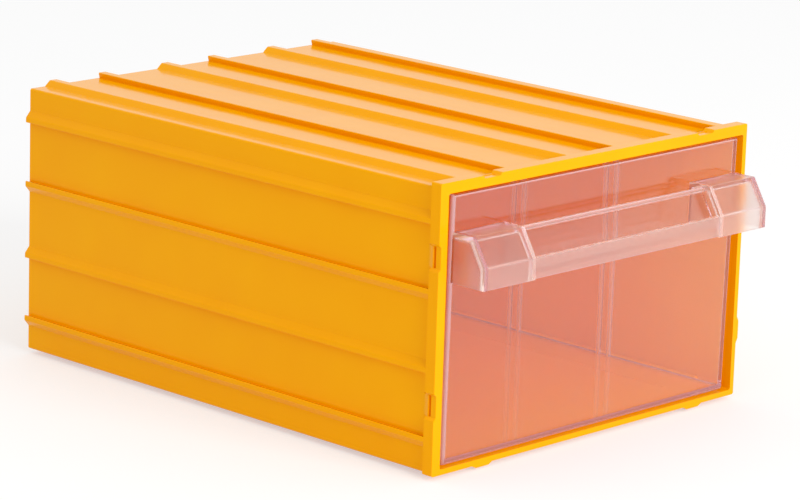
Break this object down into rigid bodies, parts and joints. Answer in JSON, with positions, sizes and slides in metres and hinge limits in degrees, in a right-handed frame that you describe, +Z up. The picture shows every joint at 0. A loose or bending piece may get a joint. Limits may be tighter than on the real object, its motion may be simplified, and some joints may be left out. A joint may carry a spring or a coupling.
{
  "type": "stackable drawer box",
  "caption": "Stackable storage box: a moulded housing with dovetail channels and tongues for joining neighbours, and a clear sliding drawer with a hooded pull and label holder.",
  "frame": {"origin": "middle of the bounding box, on the plane that the tongues under the floor rest on", "axes": "+X to the right as seen from the front, +Y from the front rim to the back, +Z up; the drawer opens towards -Y"},
  "size_m": [0.2562, 0.3568, 0.1632],
  "materials": {
    "housing_plastic": "orange-yellow moulded polypropylene, satin",
    "clear_plastic": "clear rose-tinted moulded polystyrene, glossy"
  },
  "bodies": {
    "housing": {"housing": "housing_plastic"},
    "drawer": {"drawer": "clear_plastic"}
  },
  "joints": [
    {"name": "drawer_slide", "type": "slide", "parent": "housing", "child": "drawer", "axis": [0, -1, 0], "range_m": [0, 0.3]}
  ]
}
